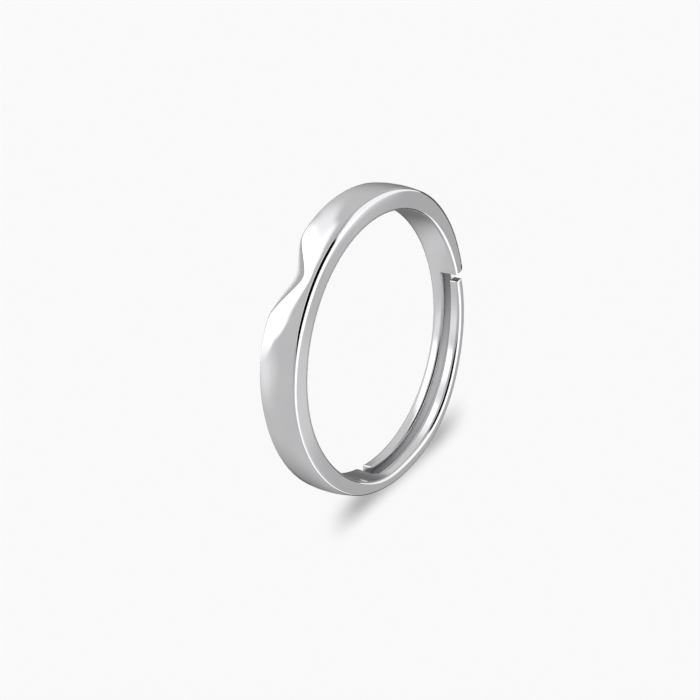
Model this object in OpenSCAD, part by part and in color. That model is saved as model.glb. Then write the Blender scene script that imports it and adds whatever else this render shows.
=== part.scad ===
// A plain open band ring in polished silver, adjustable at the back.
// The ring lies on its side: +Z is the axis of the finger hole, z = 0 is the
// flat side that it rests on, the notch at the front faces -Y and the split is at +Y.
// Angles along the band are measured from the front, in degrees, negative
// towards -X and positive towards +X. Lengths are in millimetres.

/* [Finger hole] */
// Inner radius of the band, half the ring's inner diameter
inner_radius = 8.65; // [7.9:0.05:9.6]

/* [Band] */
// Factor on the band's height, the width seen from outside
height_factor = 1; // [0.9:0.05:1.2]
// Factor on the band's radial thickness
thickness_factor = 1; // [0.9:0.05:1.2]
// Bulge of the outer face halfway up, over a straight line between its edges
crown_height = 0.12; // [0:0.01:0.2]

/* [Notch] */
// Depth of the notch cut into the resting side at the front
notch_depth = 1.64; // [1:0.02:1.8]
// Steepness of the notch's flanks, rise for each degree along the band
notch_slope = 0.128; // [0.1:0.002:0.15]
// Angle over which the notch's point is rounded
notch_tip = 3; // [1:0.5:5]
// Softness of the turn from the flank to the resting side
notch_soft = 0.39; // [0.1:0.01:0.5]

/* [Overlap at the back] */
// Angle from the front to the upper tongue's shoulder, on the +X arm
plus_shoulder = 129; // [126:1:131]
// Angle from the front to the tip of the upper tongue
plus_tip = 233; // [215:1:234]
// Angle from the front to the lower tongue's shoulder, on the -X arm
minus_shoulder = 124; // [122:1:126]
// Angle from the front to the tip of the lower tongue
minus_tip = 226.5; // [210:0.5:228]

/* [Edges] */
// Rounding of the edge between the outer face and the top side, where it is largest
outer_edge = 0.37; // [0.2:0.01:0.4]
// Rounding of the other long edges
fine_edge = 0.14; // [0.06:0.01:0.16]
// Rounding of the outer corner at the shoulder on the -X arm
shoulder_corner = 0.45; // [0.1:0.05:0.5]

/* [Hidden] */

// The band's section at a few angles. Columns: angle from the front, inner
// radius over the base one at the top edge and at the foot edge, thickness at
// the top edge and at the foot edge, height of the full width.
band_table = [
    [-228, 0,    -0.05, 0.70, 0.70, 2.12],
    [-200, 0,    -0.06, 0.82, 0.82, 2.12],
    [-175, 0.05, -0.06, 0.91, 0.91, 2.12],
    [-150, 0.05, -0.05, 0.91, 0.91, 2.12],
    [-124, 0,    -0.06, 0.86, 0.93, 2.14],
    [-100, 0,    -0.04, 1.15, 1.19, 2.30],
    [ -75, 0,    0,     1.30, 1.34, 2.60],
    [ -40, 0,    0,     1.30, 1.25, 2.80],
    [ -15, 0,    0,     1.29, 1.11, 2.87],
    [  15, 0,    0,     1.29, 1.15, 2.86],
    [  32, 0,    0,     1.30, 1.29, 2.81],
    [  60, 0,    0,     1.27, 1.26, 2.67],
    [  92, 0,    0,     1.14, 1.12, 2.55],
    [ 110, 0.10, -0.04, 0.92, 1.02, 2.50],
    [ 125, 0.18, -0.03, 0.65, 0.88, 2.44],
    [ 145, 0.05, -0.04, 0.66, 0.85, 2.29],
    [ 175, 0.13, -0.06, 0.62, 0.82, 2.14],
    [ 200, 0.04, -0.06, 0.59, 0.78, 2.05],
    [ 233, 0,    -0.05, 0.52, 0.70, 2.10]
];
// Share of the crown along the band. Columns: angle, share.
crown_table = [[-228, 0], [-150, 0], [-110, 1], [115, 1], [145, 0], [233, 0]];
// Share of the outer edge's rounding along the band. Columns: angle, share.
edge_table = [
    [-228, 0.32], [-124, 0.54], [-75, 0.6], [-35, 0.97], [20, 1],
    [36, 0.68], [60, 0.54], [129, 0.43], [233, 0.35]
];
// Top of the lower tongue. Columns: angle, height.
lower_tongue_table = [[-228, 0.77], [-200, 0.74], [-170, 0.64], [-150, 0.67], [-122, 0.98]];
// Foot of the upper tongue, with its rounded root. Columns: angle, height.
upper_tongue_table = [
    [129, 1.25], [130.5, 1.50], [133.5, 1.66], [139, 1.68],
    [147, 1.56], [165, 1.48], [190, 1.37], [220, 1.36], [234, 1.50]
];

// Angle steps along the band: plain, over the notch and over the upper tongue's root
plain_step = 3;
notch_step = 1;
root_step = 1.2;
// Angle from the front to the end of the notch's fine steps, and to where its curve has run out
notch_reach = 26;
notch_far = 40;
// Angle covered by the upper tongue's root
root_reach = 6;
// Length along the band of a step in section, small enough to stand upright
step_length = 0.1;
// Share of the fine edge by which the end section of a tip is drawn in
tip_draw = 0.8;
// Angle of the shoulder corner's arc, and the height over which its cut grows above the tongue
corner_arc = 72;
corner_rise = 0.2;
// Number of steps in each rounded edge, over the crown and round the shoulder's corner
outer_edge_steps = 3;
fine_edge_steps = 2;
crown_steps = 6;
corner_steps = 5;

// Slope of column c at row i of a table, weighted by the neighbouring spans
function row_slope(table, c, i) =
    let (last = len(table) - 1)
    i == 0 ? (table[1][c] - table[0][c]) / (table[1][0] - table[0][0])
    : i == last ? (table[i][c] - table[i - 1][c]) / (table[i][0] - table[i - 1][0])
    : let (
        before = table[i][0] - table[i - 1][0],
        after = table[i + 1][0] - table[i][0],
        slope_before = (table[i][c] - table[i - 1][c]) / before,
        slope_after = (table[i + 1][c] - table[i][c]) / after
    ) (slope_before * after + slope_after * before) / (before + after);

// Row of a table whose span holds the angle a
function span_of(table, a, i = 0) =
    i >= len(table) - 2 || a < table[i + 1][0] ? i : span_of(table, a, i + 1);

// Smooth value of column c at the angle a: a cubic through the table's rows
function smooth(table, c, a) =
    let (
        i = span_of(table, a),
        width = table[i + 1][0] - table[i][0],
        u = min(1, max(0, (a - table[i][0]) / width)),
        m0 = row_slope(table, c, i) * width,
        m1 = row_slope(table, c, i + 1) * width
    )
    (2 * pow(u, 3) - 3 * pow(u, 2) + 1) * table[i][c] + (pow(u, 3) - 2 * pow(u, 2) + u) * m0
    + (3 * pow(u, 2) - 2 * pow(u, 3)) * table[i + 1][c] + (pow(u, 3) - pow(u, 2)) * m1;

function top_thickness(a) = thickness_factor * smooth(band_table, 3, a);
function foot_thickness(a) = thickness_factor * smooth(band_table, 4, a);
function full_height(a) = height_factor * smooth(band_table, 5, a);
function crown_at(a) = crown_height * min(1, max(0, smooth(crown_table, 1, a)));
function top_edge(a) = max(fine_edge, outer_edge * smooth(edge_table, 1, a));
function lower_top(a) = height_factor * smooth(lower_tongue_table, 1, a);
function upper_foot(a) = height_factor * smooth(upper_tongue_table, 1, a);

// Height of the foot edge: zero all round, and a rounded V at the notch
function notch_flank(a) =
    notch_depth - notch_slope * (sqrt(pow(a, 2) + pow(notch_tip, 2)) - notch_tip);
function soft_floor(v) = (v + sqrt(pow(v, 2) + pow(notch_soft, 2))) / 2;
notch_rest = soft_floor(notch_flank(notch_far));
function foot_at(a) = max(0, soft_floor(notch_flank(a)) - notch_rest);

// Share of the way up from the foot edge to the top edge
function share_up(a, z) = (z - foot_at(a)) / (full_height(a) - foot_at(a));

// Radius of the inner face at the angle a and height z
function inner_at(a, z) =
    let (f = share_up(a, z))
    inner_radius + smooth(band_table, 2, a) * (1 - f) + smooth(band_table, 1, a) * f;

// Radius of the outer face at the angle a and height z, crowned between its edges
function outer_at(a, z) =
    let (f = share_up(a, z))
    inner_at(a, z) + foot_thickness(a) * (1 - f) + top_thickness(a) * f
    + crown_at(a) * 4 * f * (1 - f);

// Share of a corner's cut at the height z: all of it above the lower tongue, none on it
shoulder_low = lower_top(-minus_shoulder);
function cut_share(z) = min(1, max(0, (z - shoulder_low) / corner_rise));

// Quarter round from one edge to the next: centre, radius, first angle, steps
function quarter(r, z, e, first, steps) =
    [for (k = [0:steps]) [r + e * cos(first + 90 * k / steps), z + e * sin(first + 90 * k / steps)]];

// Section from height low to high at the angle a, as points [radius, height].
// edge is the rounding of its outer top edge, pull draws it in on all sides,
// and cut takes thickness off the outer face.
function section(a, low, high, edge, pull = 0, cut = 0) =
    let (
        fine = fine_edge - pull / 2,
        coarse = edge - pull / 2,
        foot_line = low + pull + fine,
        top_line = high - pull - coarse,
        inner_line = high - pull - fine,
        foot_inner = inner_at(a, foot_line) + pull,
        top_inner = inner_at(a, inner_line) + pull,
        foot_outer = outer_at(a, foot_line) - pull - cut * cut_share(foot_line),
        top_outer = outer_at(a, top_line) - pull - cut * cut_share(top_line)
    )
    concat(
        quarter(foot_inner + fine, foot_line, fine, 180, fine_edge_steps),
        quarter(foot_outer - fine, foot_line, fine, 270, fine_edge_steps),
        [for (k = [1:crown_steps - 1])
            let (z = foot_line + (top_line - foot_line) * k / crown_steps)
            [outer_at(a, z) - pull - cut * cut_share(z), z]],
        quarter(top_outer - coarse, top_line, coarse, 0, outer_edge_steps),
        quarter(top_inner + fine, inner_line, fine, 90, fine_edge_steps)
    );

function lower_tongue(a, pull = 0) = section(a, 0, lower_top(a), fine_edge, pull);
function upper_tongue(a, pull = 0) =
    section(a, upper_foot(a), full_height(a), top_edge(a), pull);
function full_band(a, cut = 0) = section(a, foot_at(a), full_height(a), top_edge(a), 0, cut);

// Angle covered by a length along the band
function turn(length) = length / inner_radius * 180 / PI;

// Length from the shoulder, and cut there, where the corner's arc has the angle t
function corner_length(t) = shoulder_corner * (sin(corner_arc) - sin(t));
function corner_cut(t) = shoulder_corner * (1 - cos(t));

// Angles along a stretch in even steps, without its ends
function between(a, b, step) =
    let (n = ceil((b - a) / step))
    [for (k = [1:n - 1]) a + (b - a) * k / n];

// Angles of the straight stretches' ends
lower_end = turn(fine_edge) - minus_tip;
upper_end = plus_tip - turn(fine_edge);
corner_end = turn(corner_length(0)) - minus_shoulder;
root_end = plus_shoulder + root_reach;

// All sections as [angle, section], from the lower tongue's tip to the upper one's
sections = concat(
    [[-minus_tip, lower_tongue(-minus_tip, fine_edge * tip_draw)]],
    [for (a = concat([lower_end], between(lower_end, -minus_shoulder, plain_step)))
        [a, lower_tongue(a)]],
    [[-minus_shoulder - turn(step_length), lower_tongue(-minus_shoulder)]],
    [for (k = [0:corner_steps])
        let (
            t = corner_arc * (1 - k / corner_steps),
            a = turn(corner_length(t)) - minus_shoulder
        )
        [a, full_band(a, corner_cut(t))]],
    [for (a = concat(
            between(corner_end, -notch_reach, plain_step),
            [-notch_reach],
            between(-notch_reach, notch_reach, notch_step),
            [notch_reach],
            between(notch_reach, plus_shoulder, plain_step),
            [plus_shoulder]))
        [a, full_band(a)]],
    [for (a = concat(
            [plus_shoulder + turn(step_length)],
            between(plus_shoulder, root_end, root_step),
            between(root_end, upper_end, plain_step),
            [upper_end]))
        [a, upper_tongue(a)]],
    [[plus_tip, upper_tongue(plus_tip, fine_edge * tip_draw)]]
);

// Every section's points in space, around the finger hole's axis
ring_points = [for (s = sections) for (p = s[1]) [p[0] * sin(s[0]), -p[0] * cos(s[0]), p[1]]];

// The middle of the ring's outline, which goes to the origin
function middle(c) = (max([for (p = ring_points) p[c]]) + min([for (p = ring_points) p[c]])) / 2;

// A skin through all sections, closed at both tips
module skin(sections, points) {
    around = len(sections[0][1]);
    last = len(sections) - 1;
    sides = [
        for (i = [0:last - 1])
            for (j = [0:around - 1])
                let (
                    j2 = (j + 1) % around,
                    a = i * around + j,
                    b = i * around + j2,
                    c = (i + 1) * around + j2,
                    d = (i + 1) * around + j
                )
                each [[a, b, c], [a, c, d]]
    ];
    first_cap = [[for (j = [0:around - 1]) around - 1 - j]];
    last_cap = [[for (j = [0:around - 1]) last * around + j]];
    polyhedron(points, concat(sides, first_cap, last_cap));
}

module ring_band() {
    color("silver")
        translate([-middle(0), -middle(1), 0])
            skin(sections, ring_points);
}

ring_band();
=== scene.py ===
import bpy
import numpy as np
from mathutils import Matrix, Vector


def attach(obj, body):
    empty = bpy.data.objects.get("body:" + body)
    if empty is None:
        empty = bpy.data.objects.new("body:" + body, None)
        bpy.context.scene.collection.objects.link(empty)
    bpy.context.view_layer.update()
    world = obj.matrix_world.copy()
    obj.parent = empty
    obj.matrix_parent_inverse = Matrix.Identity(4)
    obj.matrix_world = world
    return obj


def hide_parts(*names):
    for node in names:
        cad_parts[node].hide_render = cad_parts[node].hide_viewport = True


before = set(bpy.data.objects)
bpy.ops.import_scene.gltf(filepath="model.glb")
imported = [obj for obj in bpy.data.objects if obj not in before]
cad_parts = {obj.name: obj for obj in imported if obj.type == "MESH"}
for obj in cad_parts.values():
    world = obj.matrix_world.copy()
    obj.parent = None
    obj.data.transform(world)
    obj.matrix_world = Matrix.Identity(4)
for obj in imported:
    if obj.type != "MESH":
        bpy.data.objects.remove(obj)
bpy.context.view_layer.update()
print("frame loaded:", sorted(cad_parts))

mm = 0.001      # lengths in the dictionaries are in mm, and Blender's are in metres


def linearColour(hexText):
    # sRGB hex to linear: a straight line below 0.04045, a 2.4 power above it
    values = np.array([int(hexText[k:k + 2], 16) for k in (1, 3, 5)]) / 255
    linear = np.where(values <= 0.04045, values / 12.92, ((values + 0.055) / 1.055) ** 2.4)
    return (*linear.tolist(), 1.0)


def addNode(tree, kind, settings=None, inputs=None, links=None):
    # one node with its settings, its fixed inputs and the sockets that feed it
    node = tree.nodes.new(kind)
    for name, value in (settings or {}).items():
        setattr(node, name, value)
    for name, value in (inputs or {}).items():
        node.inputs[name].default_value = value
    for name, socket in (links or {}).items():
        tree.links.new(socket, node.inputs[name])
    return node


def newMaterial(name):
    # a material whose node tree is still empty
    material = bpy.data.materials.new(name)
    material.use_nodes = True
    material.node_tree.nodes.clear()
    return material, material.node_tree


def addObject(name, data):
    # an unturned, unscaled object at the origin
    added = bpy.data.objects.new(name, data)
    bpy.context.scene.collection.objects.link(added)
    return added


# Angles run along the band from the front in degrees, negative towards -X. The foot is the side
# that the ring rests on, and the upper side is the one opposite.
band = {
    "innerRadius": 8.65,
    "crown": 0.12,                  # how far the outer face swells at half its height
    # the notch in the foot: depth, fall of its flanks per degree, roundness of its point and of
    # its shoulders, and the angle where the foot is flat again
    "notchDepth": 1.64, "notchSlope": 0.128, "notchTip": 3.0, "notchSoft": 0.39, "notchFar": 40.0,
    # where the two tongues end, and the shoulders where they leave the band
    "lowerTip": -226.5, "lowerShoulder": -124.0, "upperShoulder": 129.0, "upperTip": 233.0,
    # degrees between stations, and the longer steps beside the -X shoulder and the other ends
    "angleStep": 0.75, "shoulderGap": 3.3, "endGap": 1.3,
    # rows below and above the split, layers from the inner face to the outer one, and the room
    # kept free for the rounded edges: a share of the rows below, and mm at the two faces
    "rowsBelow": 6, "rowsAbove": 5, "layers": 7,
    "rowMargin": 0.32, "innerMargin": 0.25, "outerMargin": 0.06,
    "domeStart": 0.55,              # share of the upper side's width where its dome starts
    # radii of the edges that have no table of their own: where two faces as cast meet, where the
    # split cut, along the lower tongue's inner side, and up the outer corner of the -X shoulder
    "fineEdge": 0.14, "cutEdge": 0.08, "tongueEdge": 0.17, "shoulderCorner": 0.45,
    "edgeSegments": 7,
    "sharpTurn": 30,                # an edge is rounded where its faces turn by more than this
    "flatFaceWeight": 60,           # how strongly large faces hold their shading flat
    # angle, inner radius over the base one at the top edge and at the foot, thickness at the top
    # edge and at the foot, height
    "sections": np.array([
        [-228, 0.00, -0.05, 0.70, 0.70, 2.12],
        [-200, 0.00, -0.06, 0.82, 0.82, 2.12],
        [-175, 0.05, -0.06, 0.91, 0.91, 2.12],
        [-150, 0.05, -0.05, 0.91, 0.91, 2.12],
        [-124, 0.00, -0.06, 0.86, 0.93, 2.14],
        [-100, 0.00, -0.04, 1.15, 1.19, 2.30],
        [-75, 0.00, 0.00, 1.30, 1.34, 2.60],
        [-40, 0.00, 0.00, 1.30, 1.25, 2.80],
        [-15, 0.00, 0.00, 1.29, 1.11, 2.87],
        [15, 0.00, 0.00, 1.29, 1.15, 2.86],
        [32, 0.00, 0.00, 1.30, 1.29, 2.81],
        [60, 0.00, 0.00, 1.27, 1.26, 2.67],
        [92, 0.00, 0.00, 1.14, 1.12, 2.55],
        [110, 0.10, -0.04, 0.92, 1.02, 2.50],
        [125, 0.18, -0.03, 0.65, 0.88, 2.44],
        [145, 0.05, -0.04, 0.66, 0.85, 2.29],
        [175, 0.13, -0.06, 0.62, 0.82, 2.14],
        [200, 0.04, -0.06, 0.59, 0.78, 2.05],
        [233, 0.00, -0.05, 0.52, 0.70, 2.10]]),
    # angle, radius of the edge between the outer face and the upper side
    "outerEdge": np.array([
        [-228, 0.12], [-124, 0.22], [-95, 0.22], [-70, 0.15], [-40, 0.26], [0, 0.29],
        [18, 0.26], [36, 0.16], [50, 0.11], [129, 0.11], [233, 0.12]]),
    # angle, radius of the edge between the inner face and the upper side
    "innerEdge": np.array([
        [-124, 0.18], [-80, 0.18], [-50, 0.14], [60, 0.14], [90, 0.19], [129, 0.19],
        [150, 0.18], [172, 0.22], [200, 0.22], [233, 0.14]]),
    # angle, how far the upper side falls outwards: evenly over its width, and in its outer part
    # as a dome
    "sideFall": np.array([
        [-228, 0, 0], [-124, 0.01, 0], [-100, 0, 0], [-75, 0.005, 0], [-62, 0.035, 0.025],
        [-50, 0.060, 0.042], [-40, 0.055, 0.044], [-28, 0.030, 0.044], [-16, 0, 0.018],
        [-6, -0.010, 0], [12, -0.016, 0], [24, 0.010, 0], [32, 0.019, 0], [48, 0.049, 0],
        [58, 0.053, 0], [75, 0.022, 0], [92, -0.01, 0], [105, 0, 0], [120, 0.01, 0],
        [135, -0.01, 0], [165, -0.018, 0], [185, -0.006, 0], [210, 0, 0], [233, -0.008, 0]]),
    # angle, share of the crown
    "crownShare": np.array([[-228, 0], [-150, 0], [-110, 1], [115, 1], [145, 0], [233, 0]], float),
    # angle, height of the lower tongue's top
    "lowerTop": np.array([[-228, 0.77], [-200, 0.80], [-170, 0.75], [-150, 0.77], [-122, 1.02]]),
    # angle, height of the upper tongue's foot, with its rounded root
    "upperFoot": np.array([
        [129, 1.25], [130.5, 1.50], [133.5, 1.66], [139, 1.68], [147, 1.56],
        [165, 1.46], [190, 1.34], [220, 1.34], [234, 1.50]]),
}
sectionColumns = {"innerTop": 1, "innerFoot": 2, "thickTop": 3, "thickFoot": 4, "height": 5}


def smoothColumn(table, column, angle):
    # A cubic between each two rows of a table. Its slope at a row is the mean of the straight
    # slopes on both sides, each weighted by the span of the other side.
    x, y = table[:, 0], table[:, column]
    span = np.diff(x)
    rise = np.diff(y) / span
    slope = np.empty_like(y)
    slope[0], slope[-1] = rise[0], rise[-1]
    slope[1:-1] = (rise[:-1] * span[1:] + rise[1:] * span[:-1]) / (span[:-1] + span[1:])
    angle = np.clip(angle, x[0], x[-1])
    row = np.clip(np.searchsorted(x, angle, side="right") - 1, 0, len(x) - 2)
    width = span[row]
    u = (angle - x[row]) / width
    return ((2 * u**3 - 3 * u**2 + 1) * y[row] + (u**3 - 2 * u**2 + u) * width * slope[row]
            + (3 * u**2 - 2 * u**3) * y[row + 1] + (u**3 - u**2) * width * slope[row + 1])


def sectionAt(name, angle):
    # the curve through one column of the sections
    return smoothColumn(band["sections"], sectionColumns[name], angle)


def tableAt(name, angle, column=1):
    # the curve through one of the band's other tables
    return smoothColumn(band[name], column, angle)


def footAt(angle):
    # The foot edge: zero all round, and at the front a V. A flank is the depth less the slope
    # times a hyperbola, which rounds the point, and half its sum with another hyperbola softens
    # the shoulders.
    def softFlank(a):
        off = np.hypot(a, band["notchTip"]) - band["notchTip"]
        flank = band["notchDepth"] - band["notchSlope"] * off
        return (flank + np.hypot(flank, band["notchSoft"])) / 2
    return np.maximum(softFlank(angle) - softFlank(band["notchFar"]), 0)


def shareUp(angle, z):
    # share of the way from the foot edge to the top edge
    low = footAt(angle)
    return (z - low) / (sectionAt("height", angle) - low)


def innerAt(angle, z):
    # the inner radius, straight from its value at the foot to its value at the top edge
    f = shareUp(angle, z)
    return (band["innerRadius"] + sectionAt("innerFoot", angle) * (1 - f)
            + sectionAt("innerTop", angle) * f)


def outerAt(angle, z):
    # the inner radius plus a straight change of thickness, plus a parabola of the crown's height
    f = shareUp(angle, z)
    crown = band["crown"] * np.clip(tableAt("crownShare", angle), 0, 1)
    return (innerAt(angle, z) + sectionAt("thickFoot", angle) * (1 - f)
            + sectionAt("thickTop", angle) * f + crown * 4 * f * (1 - f))


def stretch(start, end, startGap, endGap):
    # even steps between two angles, with a longer one at each end that leaves an edge its room
    count = int(np.ceil((end - start - startGap - endGap) / band["angleStep"]))
    return np.concatenate([[start], np.linspace(start + startGap, end - endGap, count + 1), [end]])


def bandStations():
    # the angles of the stations, and the numbers of the two that are at the shoulders
    b = band
    lower = stretch(b["lowerTip"], b["lowerShoulder"], b["endGap"], b["endGap"])
    middle = stretch(b["lowerShoulder"], b["upperShoulder"], b["shoulderGap"], b["endGap"])
    upper = stretch(b["upperShoulder"], b["upperTip"], b["endGap"], b["endGap"])
    angle = np.concatenate([lower[:-1], middle, upper[1:]])
    return angle, len(lower) - 1, len(lower) + len(middle) - 2


def splitHeights(angle, low, high, first, last):
    # The split row is the tongues' own edge beside the gap. Between the shoulders it runs at a
    # share of the height that changes evenly from the one to the other.
    lowerTop, upperFoot = tableAt("lowerTop", angle), tableAt("upperFoot", angle)
    share = np.interp(angle, [band["lowerShoulder"], band["upperShoulder"]],
                      [lowerTop[first] / high[first], upperFoot[last] / high[last]])
    split = low + share * (high - low)
    split[:first] = lowerTop[:first]
    split[last + 1:] = upperFoot[last + 1:]
    return split


def bandLattice():
    # A block of points, station by row by layer: stations run along the band, rows go up from the
    # foot and layers go out from the inner face. A point stands at its layer's radius times the
    # sine and minus the cosine of its station's angle. The tongues use only the rows on their own
    # side of the split row, so they share their points with the band at the shoulders.
    b = band
    angle, first, last = bandStations()
    low, high = footAt(angle), sectionAt("height", angle)
    split = splitHeights(angle, low, high, first, last)

    edge = np.maximum(tableAt("outerEdge", angle), tableAt("innerEdge", angle)) + b["outerMargin"]
    tilt, dome = tableAt("sideFall", angle, 1), tableAt("sideFall", angle, 2)
    lineTop = high - edge - np.maximum(tilt + dome, 0)
    margin = b["rowMargin"]
    below = np.concatenate([[0], np.linspace(margin, 1 - margin, b["rowsBelow"] - 1), [1]])
    above = np.linspace(0, 1, b["rowsAbove"] + 1)[1:]
    rows = np.concatenate([low[:, None] + (split - low)[:, None] * below,
                           split[:, None] + (lineTop - split)[:, None] * above,
                           high[:, None]], axis=1)
    outer = outerAt(angle[:, None], rows)
    inner = innerAt(angle[:, None], rows)
    nearIn, nearOut = inner + b["innerMargin"], outer - edge[:, None]
    across = [nearIn + (nearOut - nearIn) * f for f in np.linspace(0, 1, b["layers"] - 2)]
    layers = np.stack([inner, *across, outer], axis=2)

    # the upper side falls outwards along a straight line, plus a parabola from the dome's start
    height = np.repeat(rows[:, :, None], layers.shape[2], axis=2)
    reach = (layers[:, -1] - inner[:, -1:]) / (outer - inner)[:, -1:]
    domed = np.clip((reach - b["domeStart"]) / (1 - b["domeStart"]), 0, 1) ** 2
    fall = tilt[:, None] * reach + dome[:, None] * domed
    height[first:, -1] -= fall[first:]
    turn = np.radians(angle)[:, None, None]
    return {"points": np.stack([layers * np.sin(turn), -layers * np.cos(turn), height], axis=3),
            "angle": angle, "first": first, "last": last, "splitRow": b["rowsBelow"]}


def bandFaces(lattice):
    # The lattice's cells are solid where the band is, and a quad is drawn wherever a solid cell
    # meets an empty one
    shape = lattice["points"].shape[:3]
    stations, rows, layers = shape
    first, last, splitRow = lattice["first"], lattice["last"], lattice["splitRow"]
    solid = np.zeros((stations + 1, rows + 1, layers + 1), bool)
    solid[1:first + 1, 1:splitRow + 1, 1:layers] = True
    solid[first + 1:last + 1, 1:rows, 1:layers] = True
    solid[last + 1:stations, splitRow + 1:rows, 1:layers] = True
    index = np.arange(stations * rows * layers).reshape(shape)
    quads = []
    for axis in range(3):
        side = np.moveaxis(solid, axis, 0)
        number = np.moveaxis(index, axis, 0)
        flipAxis = axis == 1                    # moving the middle axis first turns the handedness
        for grows in (True, False):
            found = (side[:-1] != side[1:]) & (side[1:] if grows else side[:-1])
            at, p, q = np.nonzero(found)
            corners = np.stack([number[at, p - 1, q - 1], number[at, p, q - 1],
                                number[at, p, q], number[at, p - 1, q]], axis=1)
            quads.append(corners[:, ::-1] if grows != flipAxis else corners)
    return np.concatenate(quads)


def sharpEdges(mesh, points, quads):
    # the cosine between an edge's two faces is under the sharp turn's, where a quad's normal is
    # the cross product of its diagonals
    p = points[quads]
    normal = np.cross(p[:, 2] - p[:, 0], p[:, 3] - p[:, 1])
    normal /= np.linalg.norm(normal, axis=1, keepdims=True)
    edgeOf = np.empty(len(mesh.loops), int)
    mesh.loops.foreach_get("edge_index", edgeOf)
    faceOf = np.repeat(np.arange(len(quads)), 4)
    pairs = faceOf[np.argsort(edgeOf, kind="stable")].reshape(-1, 2)
    cosine = (normal[pairs[:, 0]] * normal[pairs[:, 1]]).sum(1)
    return cosine < np.cos(np.radians(band["sharpTurn"]))


def edgeRadii(mesh, used, lattice):
    # an edge's radius goes by the faces that meet there, told from its place in the lattice
    shape = lattice["points"].shape[:3]
    first, last, splitRow = lattice["first"], lattice["last"], lattice["splitRow"]
    ends = np.empty(len(mesh.edges) * 2, int)
    mesh.edges.foreach_get("vertices", ends)
    ends = used[ends.reshape(-1, 2)]
    station, row, layer = (k.reshape(-1, 2) for k in np.unravel_index(ends, shape))
    top, onSplit = (row == shape[1] - 1).all(1), (row == splitRow).all(1)
    outer, inner = (layer == shape[2] - 1).all(1), (layer == 0).all(1)
    place = lattice["angle"][station].mean(1)
    cut = onSplit | np.isin(station, [0, first, last, shape[0] - 1]).all(1)
    tongue = onSplit & inner & (station <= first).all(1)
    corner = (station == first).all(1) & (row > splitRow).any(1) & outer
    radius = np.where(cut, band["cutEdge"], band["fineEdge"])
    radius = np.where(top & outer & ~cut, tableAt("outerEdge", place), radius)
    radius = np.where(top & inner & ~cut, tableAt("innerEdge", place), radius)
    radius = np.where(tongue, band["tongueEdge"], radius)
    return np.where(corner, band["shoulderCorner"], radius)


def sawnFaces(faces, lattice):
    # the faces that stay satin: the two along the split, the wall at the -X shoulder and the
    # upper tongue's end
    shape = lattice["points"].shape[:3]
    station, row, _ = np.unravel_index(faces, shape)
    sawn = (row == lattice["splitRow"]).all(1)
    for end in (lattice["first"], shape[0] - 1):
        sawn |= (station == end).all(1)
    return sawn


def roundedMesh(mesh, radius):
    # the bevel is as wide as the largest radius, and an edge's weight is its share of that
    attribute = mesh.attributes.new("bevel_weight_edge", "FLOAT", "EDGE")
    attribute.data.foreach_set("value", (radius / band["shoulderCorner"]).astype(np.float32))
    base = addObject("bandBase", mesh)
    bevel = base.modifiers.new("edges", "BEVEL")
    bevel.limit_method = "WEIGHT"
    bevel.offset_type = "OFFSET"
    bevel.width = band["shoulderCorner"]
    bevel.segments = band["edgeSegments"]
    bevel.material = 0
    bevel.use_clamp_overlap = False
    bevel.miter_outer = "MITER_SHARP"
    shown = base.evaluated_get(bpy.context.evaluated_depsgraph_get())
    rounded = bpy.data.meshes.new_from_object(shown)
    bpy.data.objects.remove(base)
    return rounded


def makeBand():
    # the skin of the lattice, with its edges rounded and its shading held flat on the large faces
    lattice = bandLattice()
    used, quads = np.unique(bandFaces(lattice), return_inverse=True)
    quads = quads.reshape(-1, 4)
    points = lattice["points"].reshape(-1, 3)[used]
    mesh = bpy.data.meshes.new("bandBase")
    mesh.from_pydata(points.tolist(), [], quads.tolist())
    mesh.update(calc_edges=True)
    mesh.polygons.foreach_set("material_index", sawnFaces(used[quads], lattice).astype(np.int32))
    radius = np.where(sharpEdges(mesh, points, quads), edgeRadii(mesh, used, lattice), 0)
    finished = roundedMesh(mesh, radius)
    finished.name = "silverBand"

    # to metres, with the middle of the outline at the origin as in the CAD
    co = np.empty(len(finished.vertices) * 3)
    finished.vertices.foreach_get("co", co)
    co = co.reshape(-1, 3)
    co[:, :2] -= (co[:, :2].max(0) + co[:, :2].min(0)) / 2
    finished.vertices.foreach_set("co", (co * mm).ravel())
    finished.polygons.foreach_set("use_smooth", np.ones(len(finished.polygons), bool))
    finished.update()
    piece = addObject("silverBand", finished)
    piece.modifiers.new("faceWeights", "WEIGHTED_NORMAL").weight = band["flatFaceWeight"]
    print("band:", len(finished.vertices), "points,", len(finished.polygons), "faces")
    return piece


# Each pair runs from the duller place to the brighter one; on the sawn faces the duller tone is
# painted shade. Real buffing and saw lines are a few hundredths of a millimetre apart, too fine to
# show, so both are drawn coarser.
finish = {
    "polished": {"tones": ("#e9e9ec", "#f3f3f4"), "roughness": (0.075, 0.045),
                 "lineSpacing": 0.12, "lineLength": 4.0, "lineDepth": 0.0002, "cloudSize": 2.5},
    "sawn": {"tones": ("#67676a", "#d9d9db"), "roughness": (0.44, 0.26),
             "lineSpacing": 0.10, "lineLength": 4.0, "lineDepth": 0.0012, "cloudSize": 1.2,
             "paintedLightAt": (-1.2, 9.0, 0.7), "paintedShadeReach": (8.2, 1.2)},
}
# how much detail the noises have, how much of the tone with painted shade is cloud, and how much
# of the roughness follows the lines
grain = {"lineDetail": 3.0, "cloudDetail": 2.0, "cloudShare": 0.12, "lineShare": 0.5}
# a Mix node's sockets share their names, so they go by number: five inputs and the colour output
mixSocket = {"share": 0, "a": 2, "b": 3, "colourA": 6, "colourB": 7, "colourOut": 2}


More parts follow.
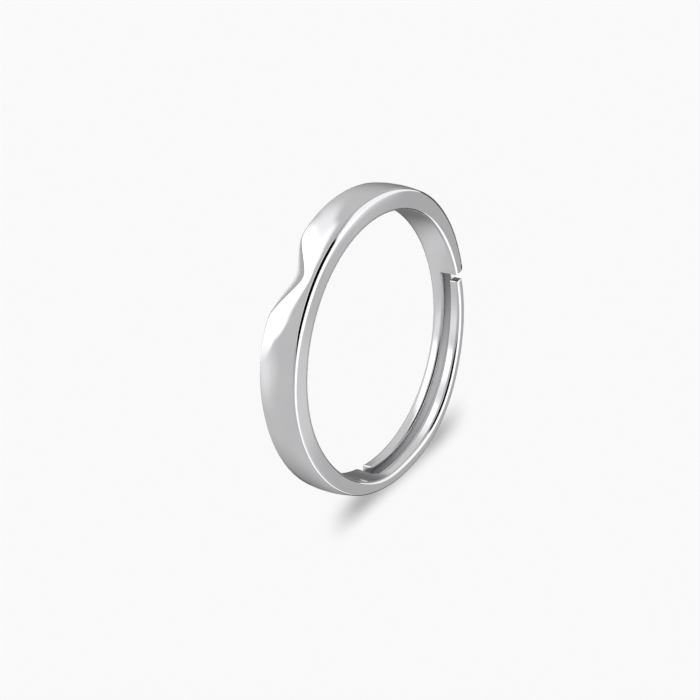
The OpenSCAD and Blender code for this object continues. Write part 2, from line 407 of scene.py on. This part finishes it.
def alongBand(tree, spacing, length):
    # noise drawn out along the band: fine in the sum of radius and height, coarse in X and Y
    place = addNode(tree, "ShaderNodeTexCoord").outputs["Object"]
    split = addNode(tree, "ShaderNodeSeparateXYZ", links={0: place})
    flat = addNode(tree, "ShaderNodeVectorMath", {"operation": "MULTIPLY"},
                   {1: (1, 1, 0)}, {0: place})
    radius = addNode(tree, "ShaderNodeVectorMath", {"operation": "LENGTH"},
                     links={0: flat.outputs["Vector"]})
    across = addNode(tree, "ShaderNodeMath", {"operation": "ADD"},
                     links={0: radius.outputs["Value"], 1: split.outputs["Z"]})
    drawn = addNode(tree, "ShaderNodeCombineXYZ", links={
        "X": split.outputs["X"], "Y": split.outputs["Y"], "Z": across.outputs["Value"]})
    scaled = addNode(tree, "ShaderNodeMapping", links={"Vector": drawn.outputs["Vector"]},
                     inputs={"Scale": (spacing / length, spacing / length, 1)})
    noise = addNode(tree, "ShaderNodeTexNoise", links={"Vector": scaled.outputs["Vector"]},
                    inputs={"Scale": 1 / (spacing * mm), "Detail": grain["lineDetail"]})
    return noise.outputs[0]


def metalMaterial(name, tones, roughness, lineSpacing, lineLength, lineDepth, cloudSize,
                  paintedLightAt=None, paintedShadeReach=None):
    # clouds, or clouds mixed with painted shade that darkens away from a given lit place, set the
    # tone;
    # they and the lines set the roughness, and the lines alone the relief
    material, tree = newMaterial(name)
    lines = alongBand(tree, lineSpacing, lineLength)
    place = addNode(tree, "ShaderNodeTexCoord").outputs["Object"]
    bright = addNode(tree, "ShaderNodeTexNoise", links={"Vector": place}, inputs={
        "Scale": 1 / (cloudSize * mm), "Detail": grain["cloudDetail"]}).outputs[0]
    if paintedLightAt:
        # painted shade: brightest near the given lit place in the middle of the overlap, darker
        # evenly out to the far reach
        middle = tuple(k * mm for k in paintedLightAt)
        far, near = (k * mm for k in paintedShadeReach)
        off = addNode(tree, "ShaderNodeVectorMath", {"operation": "DISTANCE"},
                      {1: middle}, {0: place})
        paintedShadeRamp = addNode(tree, "ShaderNodeMapRange", inputs={"From Min": far, "From Max": near},
                         links={"Value": off.outputs["Value"]})
        bright = addNode(tree, "ShaderNodeMix", {"data_type": "FLOAT"},
                         {mixSocket["share"]: grain["cloudShare"]},
                         {mixSocket["a"]: paintedShadeRamp.outputs[0], mixSocket["b"]: bright}).outputs[0]
    tone = addNode(tree, "ShaderNodeMix", {"data_type": "RGBA"},
                   {mixSocket["colourA"]: linearColour(tones[0]),
                    mixSocket["colourB"]: linearColour(tones[1])},
                   {mixSocket["share"]: bright})
    both = addNode(tree, "ShaderNodeMix", {"data_type": "FLOAT"},
                   {mixSocket["share"]: grain["lineShare"]},
                   {mixSocket["a"]: bright, mixSocket["b"]: lines})
    dull = addNode(tree, "ShaderNodeMapRange", links={"Value": both.outputs[0]},
                   inputs={"To Min": roughness[0], "To Max": roughness[1]})
    relief = addNode(tree, "ShaderNodeBump", links={"Height": lines},
                     inputs={"Strength": 1.0, "Distance": lineDepth * mm})
    shader = addNode(tree, "ShaderNodeBsdfPrincipled", inputs={"Metallic": 1.0}, links={
        "Base Color": tone.outputs[mixSocket["colourOut"]], "Roughness": dull.outputs[0],
        "Normal": relief.outputs[0]})
    addNode(tree, "ShaderNodeOutputMaterial", links={"Surface": shader.outputs["BSDF"]})
    return material


def silverMaterials():
    # Sterling silver under rhodium, buffed to a mirror: a bright neutral metal with sharp
    # reflections, and buffing lines too fine to see one by one. The sawn faces kept their satin:
    # they blur what they mirror. Their colour carries painted shade, dark towards the ends of the
    # overlap where the tongues shade each other, and lightest in its middle.
    metals = [metalMaterial("polishedRhodiumSilver", **finish["polished"]),
              metalMaterial("satinSawnSilver", **finish["sawn"])]
    print("materials:", ", ".join(metal.name for metal in metals))
    return metals


# The photograph's view of the ring, fitted to the band's edges
view = {
    "towards": (0.2612, -0.7800, 0.5686),
    "right": (-0.3606, 0.4676, 0.8071),
    "distance": 302.75,
    "holeAxis": (0.0490, 0.2337, 1.263),
    "holePixel": (370.6, 342.1),        # where that point falls in the picture
    "pixelsPerMm": 15.837,
    "pictureSize": 700,
    "sensorWidth": 36,
    "clipMetres": (0.01, 5),
}


def makeCamera():
    # the camera stands off along the view's direction, moved sideways until the middle of the
    # finger hole falls on its pixel, and its lens gives the pixels per mm at that distance
    v = view
    right, towards = Vector(v["right"]).normalized(), Vector(v["towards"])
    towards = (towards - right * right.dot(towards)).normalized()
    up = towards.cross(right)
    across = (v["holePixel"][0] - v["pictureSize"] / 2) / v["pixelsPerMm"]
    above = (v["pictureSize"] / 2 - v["holePixel"][1]) / v["pixelsPerMm"]
    place = Vector(v["holeAxis"]) + towards * v["distance"] - right * across - up * above
    data = bpy.data.cameras.new("photoView")
    data.sensor_width = v["sensorWidth"]
    data.lens = v["pixelsPerMm"] * v["distance"] / v["pictureSize"] * v["sensorWidth"]
    data.clip_start, data.clip_end = v["clipMetres"]
    camera = addObject("photoView", data)
    turn = Matrix((right, up, towards)).transposed().to_4x4()
    camera.matrix_world = Matrix.Translation(place * mm) @ turn
    bpy.context.scene.camera = camera
    print("camera: lens %.1f mm" % data.lens)


# What the metal mirrors: feathered cards that nothing else sees. Walls stand far off; their aim
# (azimuth from +Y towards +X, elevation) and half size are in degrees. Table cards lie level under
# the ring, with a turn in degrees. A feather is a share of a half side, and a grey of 1 is white.
walls = {
    "leftWall": dict(aim=(-76, 28), half=(37, 27), feather=(0.3, 0.6), grey=1.05),
    "rightWall": dict(aim=(75, 25), half=(45, 24), feather=(0.5, 0.4), grey=0.60),
    "horizon": dict(aim=(-172, 4), half=(42, 5), feather=(0.3, 0.4), grey=1.1),
    "whiteWall": dict(aim=(45, 36), half=(42, 21), feather=(0.35, 0.3), grey=1.25),
    "darkRoom": dict(aim=(-168, 40), half=(39, 31), feather=(0.2, 0.12), grey=0.003),
    "overhead": dict(aim=(-18, 76), half=(60, 44), feather=(0.2, 0.5), grey=1.3),
    "darkBack": dict(aim=(-18, -2), half=(52, 27), feather=(0.4, 0.35), grey=0.07),
}
wallDistance = 400
tableCards = {
    "tableBase": dict(at=(0, 0, -20), half=(160, 160), turn=0, feather=(0.3, 0.3), grey=0.57),
    "tableDark": dict(at=(-10, 26, -19.9), half=(60, 27), turn=0,
                      feather=(0.9, 1.0), grey=0.16),
    "tableBack": dict(at=(-40, 120, -19.85), half=(150, 80), turn=0,
                      feather=(0.4, 0.15), grey=0.12),
    "tableWhite": dict(at=(-1.5, -31.5, -19.8), half=(28, 30), turn=36,
                       feather=(0.3, 0.27), grey=1.4),
    "tableFar": dict(at=(-20, -157, -19.7), half=(110, 124), turn=0,
                     feather=(0.3, 0.06), grey=0.55),
    "tableRight": dict(at=(49.3, -44.2, -19.6), half=(40, 45), turn=-24,
                       feather=(0.08, 0.3), grey=0.57),
    "tableSoft": dict(at=(-27, -18, -19.5), half=(9, 18), turn=0, feather=(0.8, 1.0), grey=1.0),
    "tableGlow": dict(at=(20, -17, -19.45), half=(16, 16), turn=0,
                      feather=(1.0, 1.0), grey=0.87),
    "tableEdge": dict(at=(-20, -37, -19.4), half=(10, 9), turn=0,
                      feather=(1.0, 1.0), grey=1.15),
    "holeCard": dict(at=(-2.5, 5.8, -3), half=(5.0, 3.0), turn=0,
                     feather=(1.0, 0.45), grey=0.64),
}
# a dark ring right under the band, which its foot edges mirror: a painted reflection of the
# contact shadow
contact = {"middle": (-0.05, 0.7), "inner": 8.8, "outer": 10.25, "height": -0.3, "steps": 96,
           "feather": 0.5, "grey": 0.12}


def direction(azimuth, elevation):
    # unit vector: the azimuth's sine and cosine in X and Y, times the elevation's cosine
    a, e = np.radians(azimuth), np.radians(elevation)
    return np.array([np.sin(a) * np.cos(e), np.cos(a) * np.cos(e), np.sin(e)])


def cardMaterial(name, feather, grey):
    material, tree = newMaterial(name)
    place = addNode(tree, "ShaderNodeUVMap", {"uv_map": "card"})
    split = addNode(tree, "ShaderNodeSeparateXYZ", links={"Vector": place.outputs[0]})
    sides = []
    for axis, soft in zip("XY", feather):
        # distance from the nearer side, 0 at the rim and a half in the middle, softened at the rim
        off = addNode(tree, "ShaderNodeMath", {"operation": "PINGPONG"},
                      {1: 0.5}, {0: split.outputs[axis]})
        sides.append(addNode(tree, "ShaderNodeMapRange", {"interpolation_type": "SMOOTHSTEP"},
                             {"From Max": 0.5 * soft}, {"Value": off.outputs[0]}))
    mask = addNode(tree, "ShaderNodeMath", {"operation": "MULTIPLY"},
                   links={0: sides[0].outputs[0], 1: sides[1].outputs[0]})
    glow = addNode(tree, "ShaderNodeEmission", inputs={"Strength": grey})
    clear = addNode(tree, "ShaderNodeBsdfTransparent")
    mixed = addNode(tree, "ShaderNodeMixShader", links={
        0: mask.outputs[0], 1: clear.outputs[0], 2: glow.outputs[0]})
    addNode(tree, "ShaderNodeOutputMaterial", links={"Surface": mixed.outputs[0]})
    return material


def stageSheet(name, points, faces, shares, material, mirrored=True, shades=False):
    # a sheet of the studio: points in mm, and for each point its two shares of the way across
    mesh = bpy.data.meshes.new(name)
    mesh.from_pydata((np.asarray(points, float) * mm).tolist(), [], np.asarray(faces).tolist())
    uv = mesh.uv_layers.new(name="card")
    uv.data.foreach_set("uv", np.asarray(shares, float)[np.asarray(faces).ravel()].ravel())
    mesh.materials.append(material)
    sheet = addObject(name, mesh)
    sheet.visible_camera = sheet.visible_diffuse = False
    sheet.visible_transmission = sheet.visible_volume_scatter = False
    sheet.visible_glossy, sheet.visible_shadow = mirrored, shades


def makeCard(name, middle, across, up, feather, grey, **seen):
    # a rectangle: its middle plus and minus its two half sides
    corners = [middle - across - up, middle + across - up,
               middle + across + up, middle - across + up]
    stageSheet(name, corners, [(0, 1, 2, 3)], [(0, 0), (1, 0), (1, 1), (0, 1)],
               cardMaterial(name, feather, grey), **seen)


def makeWall(name, aim, half, feather, grey):
    # square to its aim; a half side is the distance times the half angle's tangent
    ahead, right = direction(*aim), direction(aim[0] + 90, 0)
    across, up = (side * wallDistance * np.tan(np.radians(angle))
                  for side, angle in zip((right, np.cross(right, ahead)), half))
    makeCard(name, ahead * wallDistance, across, up, feather, grey)


def makeTableCard(name, at, half, turn, feather, grey, **seen):
    # level, its two half sides turned about the vertical
    across, up = direction(90 - turn, 0) * half[0], direction(-turn, 0) * half[1]
    makeCard(name, np.array(at, float), across, up, feather, grey, **seen)


def makeContactShadowCard():
    # a flat annulus: the first share is held in the middle, the second runs from rim to rim
    c = contact
    count = c["steps"]
    k = np.arange(count)
    turn = k * 2 * np.pi / count
    rims = [np.stack([c["middle"][0] + r * np.sin(turn), c["middle"][1] + r * np.cos(turn),
                      np.full(count, c["height"])], 1) for r in (c["inner"], c["outer"])]
    following = (k + 1) % count
    faces = np.stack([k, following, following + count, k + count], 1)
    shares = np.stack([np.full(2 * count, 0.5), np.repeat([0.0, 1.0], count)], 1)
    # a sheet that only reflections see, standing for the contact shadow: painted shadow
    stageSheet("contactShadowCard", np.concatenate(rims), faces, shares,
               cardMaterial("contactShadowCard", (1.0, c["feather"]), c["grey"]))


# The floor is pale paper that glows a little, and a far, soft key lamp draws the shadow on it
studio = {
    "floorHalf": 1500, "floorGlow": 0.42, "floorGrey": 0.79,
    "keyDirection": (0.230, -0.686, 0.690), "keyAngle": 8, "keyStrength": 3.05,
    "roomGrey": 0.46, "behindGrey": 0.956,      # what the metal mirrors, and what the camera sees
}
# a soft flag over the far side of the ring, which takes the key's light off the floor beside it
flag = {"shadeAt": (4.78, 10.05), "height": 3.6, "half": (8.5, 1.6), "turn": 144.2,
        "feather": (0.53, 1.0)}


def makeFloor():
    # a level square that the metal doesn't mirror, because the table cards do that
    half = studio["floorHalf"] * mm
    mesh = bpy.data.meshes.new("floor")
    mesh.from_pydata([(-half, -half, 0), (half, -half, 0), (half, half, 0), (-half, half, 0)],
                     [], [(0, 1, 2, 3)])
    floor = addObject("floor", mesh)
    material, tree = newMaterial("palePaper")
    shader = addNode(tree, "ShaderNodeBsdfPrincipled", inputs={
        "Base Color": (*[studio["floorGrey"]] * 3, 1), "Roughness": 1.0, "Specular IOR Level": 0.0,
        "Emission Color": (1, 1, 1, 1), "Emission Strength": studio["floorGlow"]})
    addNode(tree, "ShaderNodeOutputMaterial", links={"Surface": shader.outputs["BSDF"]})
    mesh.materials.append(material)
    floor.visible_glossy = False


def makeKey():
    # a lamp so far off that only its angular size softens the shadow; the metal doesn't mirror it
    data = bpy.data.lights.new("key", "SUN")
    data.angle = np.radians(studio["keyAngle"])
    data.energy = studio["keyStrength"]
    key = addObject("key", data)
    key.rotation_euler = Vector(studio["keyDirection"]).to_track_quat("Z", "Y").to_euler()
    key.visible_glossy = False


def makeFlag():
    # moved towards the key by its height, so that its shade falls on the place given
    towards = np.array(studio["keyDirection"])
    middle = np.array([*flag["shadeAt"], 0]) + towards * flag["height"] / towards[2]
    makeTableCard("softFlag", middle, flag["half"], flag["turn"], flag["feather"], grey=0.0,
                  mirrored=False, shades=True)


def makeRoom():
    # one grey all round for the metal to mirror, and a paler one behind the floor
    world = bpy.data.worlds.new("room")
    world.use_nodes = True
    tree = world.node_tree
    tree.nodes.clear()
    path = addNode(tree, "ShaderNodeLightPath")
    tone = addNode(tree, "ShaderNodeMix", {"data_type": "FLOAT"},
                   {mixSocket["a"]: studio["roomGrey"], mixSocket["b"]: studio["behindGrey"]},
                   {mixSocket["share"]: path.outputs["Is Camera Ray"]})
    shown = addNode(tree, "ShaderNodeBackground", links={"Color": tone.outputs[0]})
    addNode(tree, "ShaderNodeOutputWorld", links={"Surface": shown.outputs[0]})
    world.cycles_visibility.diffuse = False
    bpy.context.scene.world = world
    bpy.context.scene.view_settings.view_transform = "Standard"


def makeStudio():
    makeFloor()
    makeKey()
    makeFlag()
    makeContactShadowCard()
    makeRoom()
    for name, card in walls.items():
        makeWall(name, **card)
    for name, card in tableCards.items():
        makeTableCard(name, **card)
    print("studio:", len(walls) + len(tableCards), "cards")


ring = makeBand()
for metal in silverMaterials():
    ring.data.materials.append(metal)
ring.visible_diffuse = False        # the cards' light doesn't reach the floor by way of the metal
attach(ring, "root")
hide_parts("ring_band")
makeCamera()
makeStudio()
